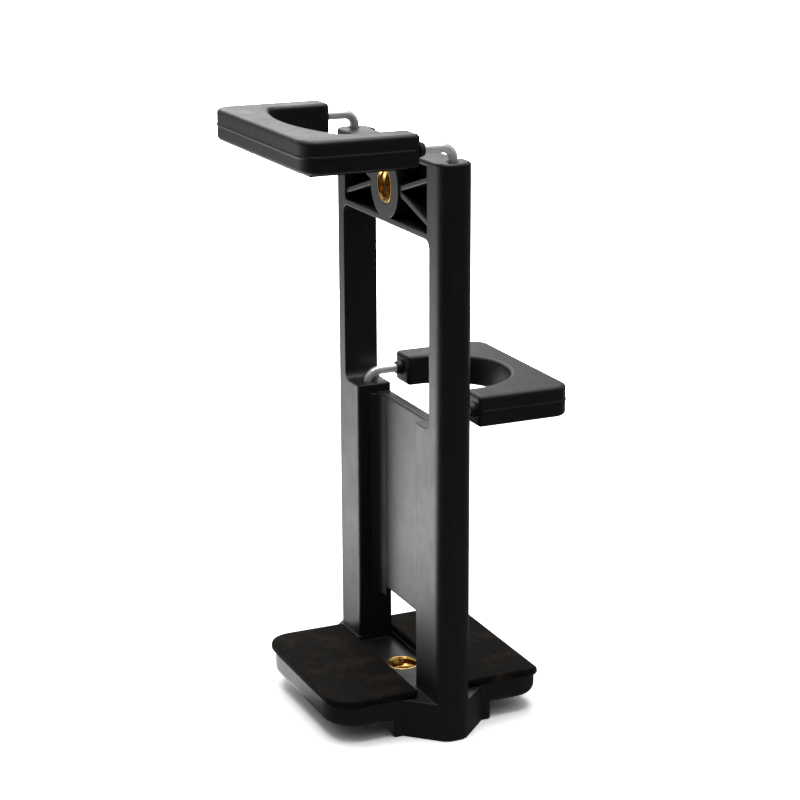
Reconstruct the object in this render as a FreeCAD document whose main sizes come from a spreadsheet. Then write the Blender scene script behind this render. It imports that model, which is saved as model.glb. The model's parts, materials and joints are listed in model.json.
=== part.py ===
# Two-in-one tripod adapter for a tablet and a phone: a moulded frame with a spring jaw on each side.
# Units are millimetres. X runs from post to post, -Y is the tablet side, +Y the phone side, +Z is up.
# The origin is on the axis of the tripod thread in the base, at the level of the ground.
import FreeCAD, Part
import math
import os
import Sketcher
from FreeCAD import Vector

doc = FreeCAD.newDocument("TripodAdapter")
sheet = doc.addObject("Spreadsheet::Sheet", "Sizes")

# Driving sizes, each one set by itself.
DRIVING = {
    # frame as a whole
    "frame_height": 130.0,
    "post_half_span": 28.9,
    "post_depth": 8.2,
    "post_upper_width": 5.8,
    "post_lower_width": 13.2,
    "step_height": 71.4,
    "post_outer_round": 3.2,
    "post_inner_round": 0.8,
    "post_root": 2.0,
    "step_round": 2.2,
    "top_round": 0.6,
    # plate between the posts
    "plate_bottom": 21.8,
    "plate_drop": 2.0,
    "plate_thickness": 1.8,
    "plate_side_round": 1.7,
    "plate_arch_round": 2.5,
    # crossbar
    "crossbar_height": 16.9,
    "crossbar_setback": 1.5,
    "crossbar_flange": 1.2,
    "crossbar_web": 1.3,
    "crossbar_end_wall": 1.0,
    "crossbar_corner_round": 2.0,
    "crossbar_insert_drop": 8.9,
    "boss_radius": 7.4,
    "rib_thickness": 1.1,
    "rib_root_reach": 5.8,
    "rib_rise": 5.1,
    "rib_setback": 0.4,
    # base block and wings
    "wing_inset": 7.3,
    "wing_top": 8.8,
    "wing_thickness": 5.3,
    "wing_front_reach": 26.1,
    "wing_rear_reach": 25.6,
    "wing_front_round": 8.0,
    "wing_rear_round": 6.0,
    "wing_bottom_round": 2.0,
    "block_half_depth": 12.0,
    "flare_start": 9.9,
    "block_bottom_round": 0.6,
    "channel_depth": 1.2,
    # foam pads
    "pad_thickness": 1.8,
    "pad_overhang": 0.3,
    "pad_front_inner": 6.1,
    "pad_front_outer": 26.4,
    "pad_rear_inner": 4.4,
    "pad_rear_outer": 24.4,
    "pad_front_round": 6.0,
    "pad_rear_round": 1.2,
    # threaded inserts
    "insert_radius": 4.0,
    "insert_waist_radius": 3.6,
    "insert_waist_length": 1.6,
    "insert_thread_radius": 2.6,
    "insert_chamfer": 0.5,
    "insert_clearance": 0.02,
    # wire forms
    "wire_radius": 1.05,
    "upper_wire_bend_round": 2.3,
    "lower_wire_bend_round": 3.1,
    "wire_corner_round": 3.0,
    "wire_tunnel_clearance": 0.02,
    "wire_hole_clearance": 0.3,
    "wire_head_radius": 1.45,
    "wire_head_length": 0.6,
    "leg_end_height": 8.0,
    # spring bores
    "upper_leg_inset": 2.9,
    "lower_leg_inset": 3.8,
    "upper_bore_radius": 2.05,
    "lower_bore_radius": 2.5,
    "bore_lip": 1.6,
    # springs and stop washers
    "spring_wire_radius": 0.3,
    "spring_leg_gap": 0.15,
    "upper_spring_turns": 10.0,
    "lower_spring_turns": 6.0,
    "spring_seat_gap": 0.05,
    "washer_thickness": 0.8,
    "washer_bore_gap": 0.3,
    # bore plugs
    "plug_recess": 0.4,
    "plug_length": 3.0,
    "plug_chamfer": 0.3,
    "plug_clearance": 0.02,
    # upper jaw
    "upper_jaw_side_wall": 1.8,
    "upper_jaw_arm_width": 6.8,
    "upper_jaw_thickness": 7.0,
    "upper_jaw_rise": -0.4,
    "upper_jaw_inner": 8.0,
    "upper_jaw_outer": 33.8,
    "upper_jaw_wall": 6.8,
    "upper_jaw_arch": 4.5,
    "upper_jaw_corner_round": 4.5,
    "upper_jaw_cut_round": 2.5,
    "upper_jaw_lip": 0.5,
    "upper_jaw_lip_inset": 2.0,
    # lower jaw
    "lower_jaw_side_wall": 2.8,
    "lower_jaw_arm_width": 7.4,
    "lower_jaw_thickness": 7.1,
    "lower_jaw_drop": 1.3,
    "lower_jaw_inner": 8.4,
    "lower_jaw_outer": 31.2,
    "lower_jaw_wall": 5.6,
    "lower_jaw_corner_round": 3.5,
    "jaw_edge_round": 0.9,
    "arm_end_round": 1.0,
    "parting_bead": 0.12,
    "parting_bead_height": 0.4,
    "bead_gap": 0.4,
    # nub where the wire enters an arm
    "nub_radius": 1.8,
    "nub_length": 1.2,
    "nub_taper": 18.0,
    "zero": 0.0,
}

# Sizes worked out from the driving ones.
DERIVED = {
    "half_depth": "post_depth / 2",
    "upper_inner": "post_half_span - post_upper_width",
    "lower_inner": "post_half_span - post_lower_width",
    "upper_leg_offset": "post_half_span - upper_leg_inset",
    "lower_leg_offset": "lower_inner + lower_leg_inset",
    "upper_jaw_half_width": "upper_leg_offset + upper_jaw_side_wall",
    "lower_jaw_half_width": "lower_leg_offset + lower_jaw_side_wall",
    "wing_half_width": "post_half_span - wing_inset",
    "pad_half_width": "wing_half_width + pad_overhang",
    "wing_bottom": "wing_top - wing_thickness",
    "plate_top": "step_height - plate_drop",
    "plate_front": "half_depth - plate_thickness",
    "crossbar_bottom": "frame_height - crossbar_height",
    "crossbar_back": "half_depth - crossbar_setback",
    "crossbar_thickness": "post_depth - crossbar_setback",
    "crossbar_pocket_depth": "crossbar_thickness - crossbar_web",
    "pocket_half_width": "upper_inner - crossbar_end_wall",
    "pocket_bottom": "crossbar_bottom + crossbar_flange",
    "pocket_top": "frame_height - crossbar_flange",
    "crossbar_insert_height": "frame_height - crossbar_insert_drop",
    "post_nose": "post_half_span - post_outer_round",
    "post_cheek": "half_depth - post_outer_round",
    "crossbar_web_level": "crossbar_web - crossbar_back",
    "rib_root_low": "crossbar_insert_height - rib_thickness / 2",
    "rib_root_high": "crossbar_insert_height + rib_thickness / 2",
    "rib_upper_low": "rib_root_low + rib_rise",
    "rib_upper_high": "rib_root_high + rib_rise",
    "rib_lower_low": "rib_root_low - rib_rise",
    "rib_lower_high": "rib_root_high - rib_rise",
    "channel_floor": "wing_top - channel_depth",
    "insert_hole_radius": "insert_radius + insert_clearance",
    "base_insert_length": "channel_floor",
    "crossbar_insert_length": "crossbar_thickness",
    "insert_mouth_radius": "insert_thread_radius + insert_chamfer",
    "base_insert_waist_low": "(base_insert_length - insert_waist_length) / 2",
    "base_insert_waist_high": "base_insert_waist_low + insert_waist_length",
    "base_insert_upper_chamfer": "base_insert_length - insert_chamfer",
    "crossbar_insert_waist_low": "(crossbar_insert_length - insert_waist_length) / 2",
    "crossbar_insert_waist_high": "crossbar_insert_waist_low + insert_waist_length",
    "crossbar_insert_upper_chamfer": "crossbar_insert_length - insert_chamfer",
    "wire_tunnel_radius": "wire_radius + wire_tunnel_clearance",
    "wire_hole_radius": "wire_radius + wire_hole_clearance",
    "upper_bore_top": "frame_height - bore_lip",
    "lower_bore_top": "step_height - bore_lip",
    "washer_bottom": "leg_end_height + wire_head_length",
    "washer_top": "washer_bottom + washer_thickness",
    "washer_hole_radius": "wire_radius + wire_tunnel_clearance",
    "upper_washer_radius": "upper_bore_radius - washer_bore_gap",
    "lower_washer_radius": "lower_bore_radius - washer_bore_gap",
    "spring_radius": "wire_radius + spring_leg_gap + spring_wire_radius",
    "spring_start": "washer_top + spring_seat_gap + spring_wire_radius",
    "upper_spring_height": "upper_bore_top - spring_seat_gap - spring_wire_radius - spring_start",
    "lower_spring_height": "lower_bore_top - spring_seat_gap - spring_wire_radius - spring_start",
    "upper_jaw_bottom": "frame_height + upper_jaw_rise",
    "upper_jaw_top": "upper_jaw_bottom + upper_jaw_thickness",
    "upper_wire_height": "upper_jaw_bottom + upper_jaw_thickness / 2",
    "upper_wire_reach": "upper_jaw_outer - upper_jaw_wall / 2",
    "upper_jaw_cut_half": "upper_jaw_half_width - upper_jaw_arm_width",
    "upper_jaw_cut_end": "upper_jaw_outer - upper_jaw_wall",
    "upper_jaw_cut_side_end": "upper_jaw_cut_end - upper_jaw_arch",
    "lower_jaw_bottom": "step_height - lower_jaw_drop",
    "lower_jaw_top": "lower_jaw_bottom + lower_jaw_thickness",
    "lower_wire_height": "lower_jaw_bottom + lower_jaw_thickness / 2",
    "lower_wire_reach": "lower_jaw_outer - lower_jaw_wall / 2",
    "lower_jaw_cut_half": "lower_jaw_half_width - lower_jaw_arm_width",
    "lower_jaw_cut_centre": "lower_jaw_outer - lower_jaw_wall - lower_jaw_cut_half",
    "upper_jaw_cut_radius": "(upper_jaw_cut_half ^ 2 + upper_jaw_arch ^ 2) / (2 * upper_jaw_arch)",
    "upper_jaw_cut_centre": "upper_jaw_cut_end - upper_jaw_cut_radius",
    "upper_jaw_bead_level": "upper_jaw_bottom + (upper_jaw_thickness - parting_bead_height) / 2",
    "lower_jaw_bead_level": "lower_jaw_bottom + (lower_jaw_thickness - parting_bead_height) / 2",
    "upper_jaw_bead_half": "upper_jaw_half_width + parting_bead",
    "upper_jaw_bead_start": "upper_jaw_inner + arm_end_round + bead_gap",
    "upper_jaw_bead_round": "upper_jaw_corner_round + parting_bead",
    "upper_jaw_round_x": "upper_jaw_half_width - upper_jaw_corner_round",
    "upper_jaw_round_y": "upper_jaw_outer - upper_jaw_corner_round",
    "lower_jaw_bead_half": "lower_jaw_half_width + parting_bead",
    "lower_jaw_bead_start": "lower_jaw_inner + arm_end_round + bead_gap",
    "lower_jaw_bead_round": "lower_jaw_corner_round + parting_bead",
    "lower_jaw_round_x": "lower_jaw_half_width - lower_jaw_corner_round",
    "lower_jaw_round_y": "lower_jaw_outer - lower_jaw_corner_round",
    "upper_lip_half": "upper_jaw_half_width - upper_jaw_lip_inset",
    "upper_lip_cut_half": "upper_jaw_cut_half + upper_jaw_lip_inset",
    "upper_lip_outer": "upper_jaw_outer - upper_jaw_lip_inset",
    "upper_lip_inner": "upper_jaw_inner + upper_jaw_lip_inset",
    "upper_lip_cut_end": "upper_jaw_cut_end + upper_jaw_lip_inset",
    "upper_lip_side_end": "upper_jaw_cut_side_end + upper_jaw_lip_inset",
    "upper_lip_radius": "(upper_lip_cut_half ^ 2 + upper_jaw_arch ^ 2) / (2 * upper_jaw_arch)",
    "upper_lip_cut_centre": "upper_lip_cut_end - upper_lip_radius",
    "plug_top": "plug_recess + plug_length",
    "upper_plug_radius": "upper_bore_radius - plug_clearance",
    "lower_plug_radius": "lower_bore_radius - plug_clearance",
}

for row, (alias, number) in enumerate(DRIVING.items(), start=1):
    sheet.set(f"A{row}", alias)
    sheet.set(f"B{row}", str(number))
    sheet.setAlias(f"B{row}", alias)
for row, (alias, formula) in enumerate(DERIVED.items(), start=1):
    sheet.set(f"C{row}", alias)
    sheet.set(f"D{row}", "=" + formula)
    sheet.setAlias(f"D{row}", alias)
doc.recompute()


def size(term):
    """Value of a size; a leading minus turns its sign."""
    if term.startswith("-"):
        return -float(sheet.get(term[1:]))
    return float(sheet.get(term))


def bound(term):
    """The same size as an expression that follows the sheet."""
    if term.startswith("-"):
        return "-Sizes." + term[1:]
    return "Sizes." + term


def new_body(label):
    body = doc.addObject("PartDesign::Body", label)
    body.Label = label
    return body


def new_sketch(body, name, plane, level="zero"):
    """Sketch on one of the body's own planes, moved along its normal to a level."""
    sketch = body.newObject("Sketcher::SketchObject", name)
    support = [item for item in body.Origin.OriginFeatures if item.Role == plane][0]
    sketch.AttachmentSupport = (support, [""])
    sketch.MapMode = "FlatFace"
    sketch.setExpression("AttachmentOffset.Base.z", bound(level))
    return sketch


def fix_point(sketch, geometry, vertex, x_term, y_term):
    """Hold a point of the sketch at two sizes of the sheet."""
    for kind, term in (("DistanceX", x_term), ("DistanceY", y_term)):
        index = sketch.addConstraint(Sketcher.Constraint(kind, -1, 1, geometry, vertex, size(term)))
        sketch.setExpression(f"Constraints[{index}]", bound(term))


def add_outline(sketch, corners):
    """Closed outline of straight lines through named corners."""
    points = [Vector(size(x), size(y), 0) for x, y in corners]
    first = sketch.GeometryCount
    for start, end in zip(points, points[1:] + points[:1]):
        sketch.addGeometry(Part.LineSegment(start, end), False)
    for step, (x_term, y_term) in enumerate(corners):
        here = first + step
        before = first + (step - 1) % len(corners)
        sketch.addConstraint(Sketcher.Constraint("Coincident", before, 2, here, 1))
        fix_point(sketch, here, 1, x_term, y_term)


def add_rounded_outline(sketch, corners):
    """Closed outline run anticlockwise; a corner with a third size is an arc round that centre."""
    centres = [Vector(size(c[0]), size(c[1]), 0) for c in corners]
    radii = [size(c[2]) if len(c) == 3 else 0.0 for c in corners]
    count = len(corners)
    tangents = []
    for step in range(count):
        start, end = centres[step], centres[(step + 1) % count]
        run = end - start
        along = Vector(run).normalize()
        across = Vector(along.y, -along.x, 0)
        sine = (radii[step] - radii[(step + 1) % count]) / run.Length
        outward = across * math.sqrt(1.0 - sine * sine) + along * sine
        tangents.append((start + outward * radii[step], end + outward * radii[(step + 1) % count], outward))
    lines = [sketch.addGeometry(Part.LineSegment(t[0], t[1]), False) for t in tangents]
    for step, corner in enumerate(corners):
        before = lines[(step - 1) % count]
        here = lines[step]
        if len(corner) == 2:
            sketch.addConstraint(Sketcher.Constraint("Coincident", before, 2, here, 1))
            fix_point(sketch, here, 1, corner[0], corner[1])
            continue
        first = tangents[(step - 1) % count][2]
        last = tangents[step][2]
        circle = Part.Circle(centres[step], Vector(0, 0, 1), radii[step])
        start_angle = math.atan2(first.y, first.x)
        end_angle = math.atan2(last.y, last.x)
        arc = sketch.addGeometry(Part.ArcOfCircle(circle, start_angle, end_angle), False)
        sketch.addConstraint(Sketcher.Constraint("Tangent", before, 2, arc, 1))
        sketch.addConstraint(Sketcher.Constraint("Tangent", arc, 2, here, 1))
        fix_point(sketch, arc, 3, corner[0], corner[1])
        rule = sketch.addConstraint(Sketcher.Constraint("Radius", arc, radii[step]))
        sketch.setExpression(f"Constraints[{rule}]", bound(corner[2]))


def add_arched_outline(sketch, corners, arch_after, centre_y):
    """Closed outline run clockwise round a cut-out, with one arc about the middle line after a corner."""
    points = [Vector(size(x), size(y), 0) for x, y in corners]
    count = len(points)
    pieces = []
    for step in range(count):
        start, end = points[step], points[(step + 1) % count]
        if step != arch_after:
            pieces.append((sketch.addGeometry(Part.LineSegment(start, end), False), 1, 2))
            continue
        centre = Vector(0, size(centre_y), 0)
        circle = Part.Circle(centre, Vector(0, 0, 1), (start - centre).Length)
        start_angle = math.atan2(end.y - centre.y, end.x)
        end_angle = math.atan2(start.y - centre.y, start.x)
        index = sketch.addGeometry(Part.ArcOfCircle(circle, start_angle, end_angle), False)
        pieces.append((index, 2, 1))
        rule = sketch.addConstraint(Sketcher.Constraint("DistanceY", -1, 1, index, 3, size(centre_y)))
        sketch.setExpression(f"Constraints[{rule}]", bound(centre_y))
    for step, (x_term, y_term) in enumerate(corners):
        here, start_vertex, _ = pieces[step]
        before, _, end_vertex = pieces[(step - 1) % count]
        sketch.addConstraint(Sketcher.Constraint("Coincident", before, end_vertex, here, start_vertex))
        fix_point(sketch, here, start_vertex, x_term, y_term)


def add_rectangle(sketch, left, right, low, high):
    add_outline(sketch, [(left, low), (right, low), (right, high), (left, high)])


def add_circle(sketch, x_term, y_term, radius):
    centre = Vector(size(x_term), size(y_term), 0)
    index = sketch.addGeometry(Part.Circle(centre, Vector(0, 0, 1), size(radius)), False)
    fix_point(sketch, index, 3, x_term, y_term)
    rule = sketch.addConstraint(Sketcher.Constraint("Radius", index, size(radius)))
    sketch.setExpression(f"Constraints[{rule}]", bound(radius))


def pad(body, sketch, length):
    feature = body.newObject("PartDesign::Pad", sketch.Name + "Pad")
    feature.Profile = sketch
    feature.setExpression("Length", length)
    doc.recompute()
    return feature


def pocket(body, sketch, length, upward=False):
    feature = body.newObject("PartDesign::Pocket", sketch.Name + "Pocket")
    feature.Profile = sketch
    feature.setExpression("Length", length)
    feature.Reversed = upward
    doc.recompute()
    return feature


def edges_where(shape, test):
    """Names of the straight edges whose two ends pass a test."""
    found = []
    for number, edge in enumerate(shape.Edges, start=1):
        if len(edge.Vertexes) == 2 and test(edge.Vertexes[0].Point, edge.Vertexes[1].Point, edge):
            found.append(f"Edge{number}")
    return found


def round_edges(body, name, radius, test):
    """Fillet on the edges of the body so far that pass a test."""
    base = body.Tip
    names = edges_where(base.Shape, test)
    if not names:
        raise RuntimeError(f"{name}: no edge found")
    feature = body.newObject("PartDesign::Fillet", name)
    feature.Base = (base, names)
    feature.setExpression("Radius", bound(radius))
    doc.recompute()
    return feature


def near(value, target):
    return abs(value - target) < 1e-4


def upright(a, b):
    return near(a.x, b.x) and near(a.y, b.y) and not near(a.z, b.z)


def along_y(a, b):
    return near(a.x, b.x) and near(a.z, b.z) and not near(a.y, b.y)


# Frame: one moulding of two posts, crossbar, plate, base block and two wings
frame = new_body("frame")

posts = new_sketch(frame, "Posts", "XY_Plane", "post_root")
add_rounded_outline(posts, [
    ("upper_inner", "-half_depth"),
    ("post_nose", "-post_cheek", "post_outer_round"),
    ("post_nose", "post_cheek", "post_outer_round"),
    ("upper_inner", "half_depth")])
add_rounded_outline(posts, [
    ("-upper_inner", "half_depth"),
    ("-post_nose", "post_cheek", "post_outer_round"),
    ("-post_nose", "-post_cheek", "post_outer_round"),
    ("-upper_inner", "-half_depth")])
pad(frame, posts, "Sizes.frame_height - Sizes.post_root")

tubes = new_sketch(frame, "InnerTubes", "XY_Plane", "post_root")
add_rectangle(tubes, "lower_inner", "post_nose", "-half_depth", "half_depth")
add_rectangle(tubes, "-post_nose", "-lower_inner", "-half_depth", "half_depth")
pad(frame, tubes, "Sizes.step_height - Sizes.post_root")

plate = new_sketch(frame, "Plate", "XY_Plane", "plate_bottom")
add_rectangle(plate, "-upper_inner", "upper_inner", "plate_front", "half_depth")
pad(frame, plate, "Sizes.plate_top - Sizes.plate_bottom")

crossbar = new_sketch(frame, "Crossbar", "XY_Plane", "crossbar_bottom")
add_rectangle(crossbar, "-post_nose", "post_nose", "-half_depth", "crossbar_back")
pad(frame, crossbar, "Sizes.crossbar_height")

block = new_sketch(frame, "Block", "XY_Plane")
add_rounded_outline(block, [
    ("-wing_half_width", "-block_half_depth"),
    ("wing_half_width", "-block_half_depth"),
    ("wing_half_width", "-flare_start"),
    ("post_nose", "-post_cheek", "post_outer_round"),
    ("post_nose", "post_cheek", "post_outer_round"),
    ("wing_half_width", "flare_start"),
    ("wing_half_width", "block_half_depth"),
    ("-wing_half_width", "block_half_depth"),
    ("-wing_half_width", "flare_start"),
    ("-post_nose", "post_cheek", "post_outer_round"),
    ("-post_nose", "-post_cheek", "post_outer_round"),
    ("-wing_half_width", "-flare_start")])
pad(frame, block, "Sizes.wing_top")
round_edges(frame, "BlockUnderside", "block_bottom_round",
            lambda a, b, e: near(a.z, 0) and near(b.z, 0) and near(a.y, b.y)
            and near(abs(a.y), size("block_half_depth")))

wings = new_sketch(frame, "Wings", "XY_Plane", "wing_bottom")
add_rectangle(wings, "-wing_half_width", "wing_half_width", "-wing_front_reach", "wing_rear_reach")
pad(frame, wings, "Sizes.wing_thickness")


def on_wing_rim(a, b, edge):
    low = near(a.z, size("wing_bottom")) and near(b.z, size("wing_bottom"))
    outside = min(abs(a.y), abs(b.y)) > size("block_half_depth") - 1e-4
    across = near(abs(a.y), size("block_half_depth")) and near(abs(b.y), size("block_half_depth"))
    return low and outside and not across


round_edges(frame, "FrontWingCorners", "wing_front_round",
            lambda a, b, e: upright(a, b) and near(a.y, -size("wing_front_reach")))
round_edges(frame, "RearWingCorners", "wing_rear_round",
            lambda a, b, e: upright(a, b) and near(a.y, size("wing_rear_reach")))
round_edges(frame, "WingUnderside", "wing_bottom_round", on_wing_rim)

# Shallow channel between the pads, where the base insert sits
channel = new_sketch(frame, "Channel", "XY_Plane", "wing_top")
add_rectangle(channel, "-lower_inner", "lower_inner", "-pad_front_inner", "half_depth")
pocket(frame, channel, "Sizes.channel_depth")

# Hollow front of the crossbar with its boss and four ribs
hollow = new_sketch(frame, "Hollow", "XZ_Plane", "half_depth")
add_rectangle(hollow, "-pocket_half_width", "pocket_half_width", "pocket_bottom", "pocket_top")
pocket(frame, hollow, "Sizes.crossbar_pocket_depth")

boss = new_sketch(frame, "Boss", "XZ_Plane", "crossbar_web_level")
add_circle(boss, "zero", "crossbar_insert_height", "boss_radius")
pad(frame, boss, "Sizes.crossbar_pocket_depth")

for name, low, high in (("RisingRibs", "rib_upper_low", "rib_upper_high"),
                        ("FallingRibs", "rib_lower_low", "rib_lower_high")):
    ribs = new_sketch(frame, name, "XZ_Plane", "crossbar_web_level")
    add_outline(ribs, [("rib_root_reach", "rib_root_low"), ("upper_inner", low),
                       ("upper_inner", high), ("rib_root_reach", "rib_root_high")])
    add_outline(ribs, [("-rib_root_reach", "rib_root_high"), ("-upper_inner", high),
                       ("-upper_inner", low), ("-rib_root_reach", "rib_root_low")])
    pad(frame, ribs, "Sizes.crossbar_pocket_depth - Sizes.rib_setback")

# Rounded inner corners
round_edges(frame, "CrossbarCorners", "crossbar_corner_round",
            lambda a, b, e: along_y(a, b) and near(a.z, size("crossbar_bottom"))
            and near(abs(a.x), size("upper_inner")))
round_edges(frame, "StepCorners", "step_round",
            lambda a, b, e: along_y(a, b) and near(a.z, size("step_height"))
            and near(abs(a.x), size("upper_inner")))
round_edges(frame, "PlateArch", "plate_arch_round",
            lambda a, b, e: along_y(a, b) and near(a.z, size("plate_bottom"))
            and abs(a.x) < size("upper_inner"))
round_edges(frame, "PlateSides", "plate_side_round",
            lambda a, b, e: upright(a, b) and near(abs(a.x), size("lower_inner"))
            and near(a.y, size("plate_front")))


def along_x(a, b):
    return near(a.y, b.y) and near(a.z, b.z) and not near(a.x, b.x)


round_edges(frame, "InnerCorners", "post_inner_round",
            lambda a, b, e: upright(a, b) and near(abs(a.x), size("lower_inner"))
            and near(a.y, -size("half_depth")))
round_edges(frame, "TopRim", "top_round",
            lambda a, b, e: along_x(a, b) and near(a.z, size("frame_height"))
            and near(a.y, -size("half_depth")))

# Holes: insert seats, spring bores from below and the small holes that the wires slide through
base_seat = new_sketch(frame, "BaseSeat", "XY_Plane")
add_circle(base_seat, "zero", "zero", "insert_hole_radius")
pocket(frame, base_seat, "Sizes.channel_floor + 1", True)

crossbar_seat = new_sketch(frame, "CrossbarSeat", "XZ_Plane", "half_depth")
add_circle(crossbar_seat, "zero", "crossbar_insert_height", "insert_hole_radius")
pocket(frame, crossbar_seat, "Sizes.post_depth")

for name, offset, bore, top, hole_top in (
        ("Upper", "upper_leg_offset", "upper_bore_radius", "upper_bore_top", "frame_height"),
        ("Lower", "lower_leg_offset", "lower_bore_radius", "lower_bore_top", "step_height")):
    bores = new_sketch(frame, name + "Bores", "XY_Plane")
    holes = new_sketch(frame, name + "Holes", "XY_Plane")
    for side_offset in (offset, "-" + offset):
        add_circle(bores, side_offset, "zero", bore)
        add_circle(holes, side_offset, "zero", "wire_hole_radius")
    pocket(frame, bores, "Sizes." + top, True)
    pocket(frame, holes, "Sizes." + hole_top, True)


# Threaded inserts: a sleeve with a waist, chamfered at both mouths
def revolve(body, sketch, degrees=360.0):
    feature = body.newObject("PartDesign::Revolution", sketch.Name + "Turn")
    feature.Profile = sketch
    feature.ReferenceAxis = (sketch, ["V_Axis"])
    feature.Angle = degrees
    doc.recompute()
    return feature


for label, length in (("base_insert", "base_insert_length"), ("crossbar_insert", "crossbar_insert_length")):
    insert = new_body(label)
    profile = new_sketch(insert, label + "Profile", "XZ_Plane")
    mouth = [("insert_thread_radius", "insert_chamfer"), ("insert_mouth_radius", "zero")]
    if label == "base_insert":
        mouth = [("insert_thread_radius", "zero")]
    add_outline(profile, mouth + [
        ("insert_radius", "zero"),
        ("insert_radius", label + "_waist_low"),
        ("insert_waist_radius", label + "_waist_low"),
        ("insert_waist_radius", label + "_waist_high"),
        ("insert_radius", label + "_waist_high"),
        ("insert_radius", length),
        ("insert_mouth_radius", length),
        ("insert_thread_radius", label + "_upper_chamfer")])
    revolve(insert, profile)
base_insert = doc.getObject("base_insert")
crossbar_insert = doc.getObject("crossbar_insert")
crossbar_insert.Placement = FreeCAD.Placement(
    Vector(0, -size("half_depth"), size("crossbar_insert_height")),
    FreeCAD.Rotation(Vector(1, 0, 0), -90))
crossbar_insert.setExpression("Placement.Base.y", "-Sizes.half_depth")
crossbar_insert.setExpression("Placement.Base.z", "Sizes.crossbar_insert_height")

# Foam pads on the wings
for label, near_edge, far_edge, corner_round in (
        ("front_pad", "-pad_front_inner", "-pad_front_outer", "pad_front_round"),
        ("rear_pad", "pad_rear_inner", "pad_rear_outer", "pad_rear_round")):
    foam = new_body(label)
    plan = new_sketch(foam, label + "Plan", "XY_Plane", "wing_top")
    low, high = sorted((near_edge, far_edge), key=size)
    add_rectangle(plan, "-pad_half_width", "pad_half_width", low, high)
    pad(foam, plan, "Sizes.pad_thickness")
    round_edges(foam, label + "Corners", corner_round,
                lambda a, b, e: upright(a, b) and near(a.y, size(far_edge)))

# Bent wires: each one a U of round rod with both legs turned down into the posts
def wire_path(offset, low_end, height, reach, toward, bend_round):
    """Centre line of a wire from one leg end, round the jaw, to the other leg end."""
    bend = size(bend_round)
    corner = size("wire_corner_round")
    x, z, y_end = size(offset), size(height), toward * size(reach)
    diagonal = math.sqrt(0.5)
    edges = []
    for sign in (1, -1):
        foot = Vector(sign * x, 0, size(low_end))
        below = Vector(sign * x, 0, z - bend)
        middle = Vector(sign * x, toward * bend * (1 - diagonal), z - bend * (1 - diagonal))
        above = Vector(sign * x, toward * bend, z)
        turn = Vector(sign * x, y_end - toward * corner, z)
        knee = Vector(sign * (x - corner * (1 - diagonal)), y_end - toward * corner * (1 - diagonal), z)
        across = Vector(sign * (x - corner), y_end, z)
        run = [Part.LineSegment(foot, below).toShape(), Part.Arc(below, middle, above).toShape(),
               Part.LineSegment(above, turn).toShape(), Part.Arc(turn, knee, across).toShape()]
        edges.append((run, across))
    cross_run = Part.LineSegment(edges[0][1], edges[1][1]).toShape()
    return Part.Wire(edges[0][0] + [cross_run] + edges[1][0][::-1])


def rod_along(path, foot, radius):
    ring = Part.Wire(Part.makeCircle(size(radius), foot, Vector(0, 0, 1)))
    return path.makePipeShell([ring], True, False)


wires = {
    "upper_wire": ("upper_leg_offset", "upper_wire_height", "upper_wire_reach", -1),
    "lower_wire": ("lower_leg_offset", "lower_wire_height", "lower_wire_reach", 1),
}
tunnels = {}
for label, (offset, height, reach, toward) in wires.items():
    path = wire_path(offset, "leg_end_height", height, reach, toward, label + "_bend_round")
    foot = Vector(size(offset), 0, size("leg_end_height"))
    rod = rod_along(path, foot, "wire_radius")
    for sign in (1, -1):
        head_at = Vector(sign * size(offset), 0, size("leg_end_height"))
        rod = rod.fuse(Part.makeCylinder(size("wire_head_radius"), size("wire_head_length"), head_at))
    wire = doc.addObject("Part::Feature", label)
    wire.Label = label
    wire.Shape = rod
    wire.Placement = FreeCAD.Placement()
    tunnels[label] = rod_along(path, foot, "wire_tunnel_radius")

# Stop washers on the leg ends, springs on the legs and plugs in the bores
for level, offset in (("upper", "upper_leg_offset"), ("lower", "lower_leg_offset")):
    for side_name, sign in (("right", 1), ("left", -1)):
        washer = new_body(f"{level}_stop_{side_name}")
        ring = new_sketch(washer, f"{washer.Name}Ring", "XY_Plane", "washer_bottom")
        add_circle(ring, "zero", "zero", level + "_washer_radius")
        add_circle(ring, "zero", "zero", "washer_hole_radius")
        pad(washer, ring, "Sizes.washer_thickness")

        plug = new_body(f"{level}_plug_{side_name}")
        disc = new_sketch(plug, f"{plug.Name}Disc", "XY_Plane", "plug_recess")
        add_circle(disc, "zero", "zero", level + "_plug_radius")
        pad(plug, disc, "Sizes.plug_length")
        solid_disc = plug.Tip
        rims = [f"Edge{n}" for n, e in enumerate(solid_disc.Shape.Edges, 1)
                if e.isClosed() and len(e.Vertexes) == 1 and isinstance(e.Curve, Part.Circle)]
        lead = plug.newObject("PartDesign::Chamfer", f"{plug.Name}Lead")
        lead.Base = (solid_disc, rims)
        lead.setExpression("Size", "Sizes.plug_chamfer")
        doc.recompute()

        spring = new_body(f"{level}_spring_{side_name}")
        strand = new_sketch(spring, f"{spring.Name}Strand", "XZ_Plane")
        add_circle(strand, "spring_radius", "spring_start", "spring_wire_radius")
        coil = spring.newObject("PartDesign::AdditiveHelix", f"{spring.Name}Coil")
        coil.Profile = strand
        coil.ReferenceAxis = (strand, ["V_Axis"])
        coil.Mode = "height-turns-growth"
        coil.setExpression("Height", f"Sizes.{level}_spring_height")
        coil.setExpression("Turns", f"Sizes.{level}_spring_turns")
        coil.Growth = 0
        doc.recompute()
        for item in (washer, plug, spring):
            item.Placement = FreeCAD.Placement(Vector(sign * size(offset), 0, 0), FreeCAD.Rotation())
            item.setExpression("Placement.Base.x", bound(offset if sign > 0 else "-" + offset))

# Jaws: flat moulded U shapes over the wires


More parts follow.
